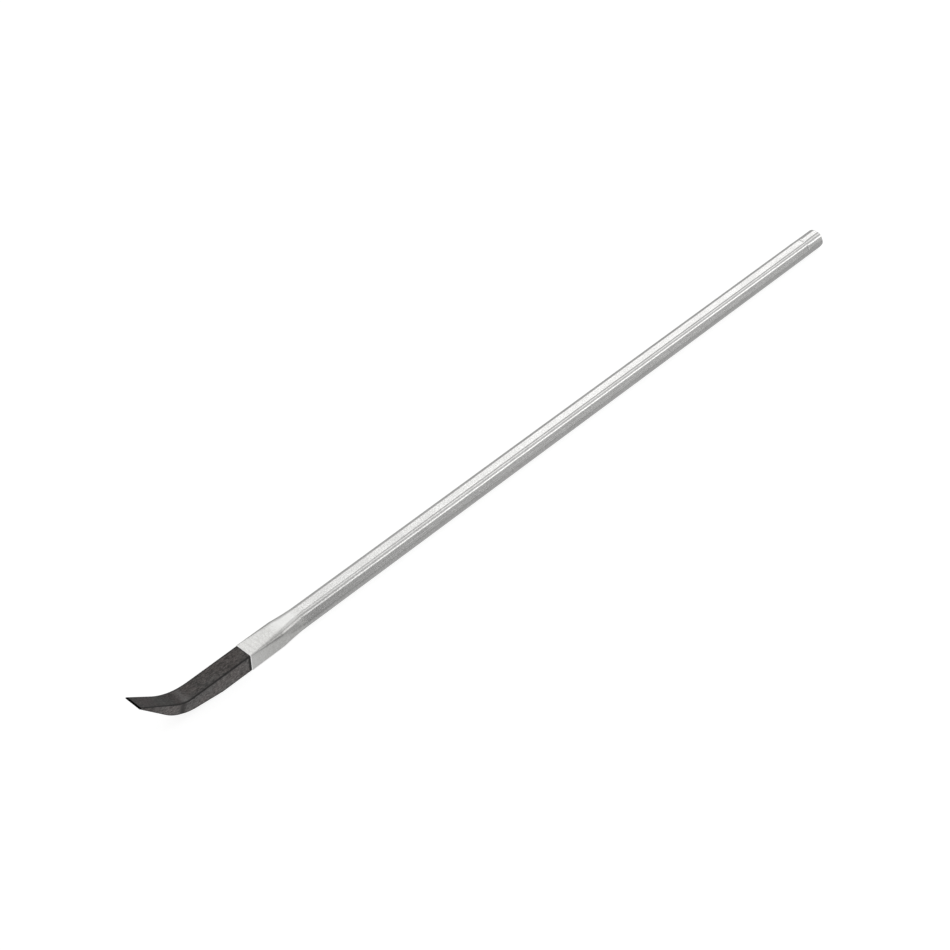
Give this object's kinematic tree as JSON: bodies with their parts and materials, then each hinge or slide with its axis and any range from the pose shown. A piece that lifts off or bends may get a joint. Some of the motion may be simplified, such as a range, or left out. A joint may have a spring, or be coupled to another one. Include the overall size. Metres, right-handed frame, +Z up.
{
  "type": "pry bar",
  "caption": "Long pry bar: square forged steel blade bent up to a chisel edge, in a hexagonal aluminium handle tube swaged square over its tang and plugged at the butt.",
  "frame": {"origin": "bottom centre of the bounding box, under the middle of the bar's length, on the surface that the handle lies on", "axes": "+X along the handle from the chisel edge towards the butt, +Z up out of the handle's resting flat, the way the blade bends, +Y to the left when looking towards the butt"},
  "size_m": [1.2192, 0.0282, 0.064],
  "materials": {
    "forged_steel": "dark brown-grey forged and oiled, arrises worn",
    "handle_aluminium": "bright as extruded on the handle, satin where swaged",
    "plug_aluminium": "turned, satin"
  },
  "bodies": {
    "root": {"steel_blade": "forged_steel", "handle_tube": "handle_aluminium", "butt_plug": "plug_aluminium"}
  },
  "joints": []
}
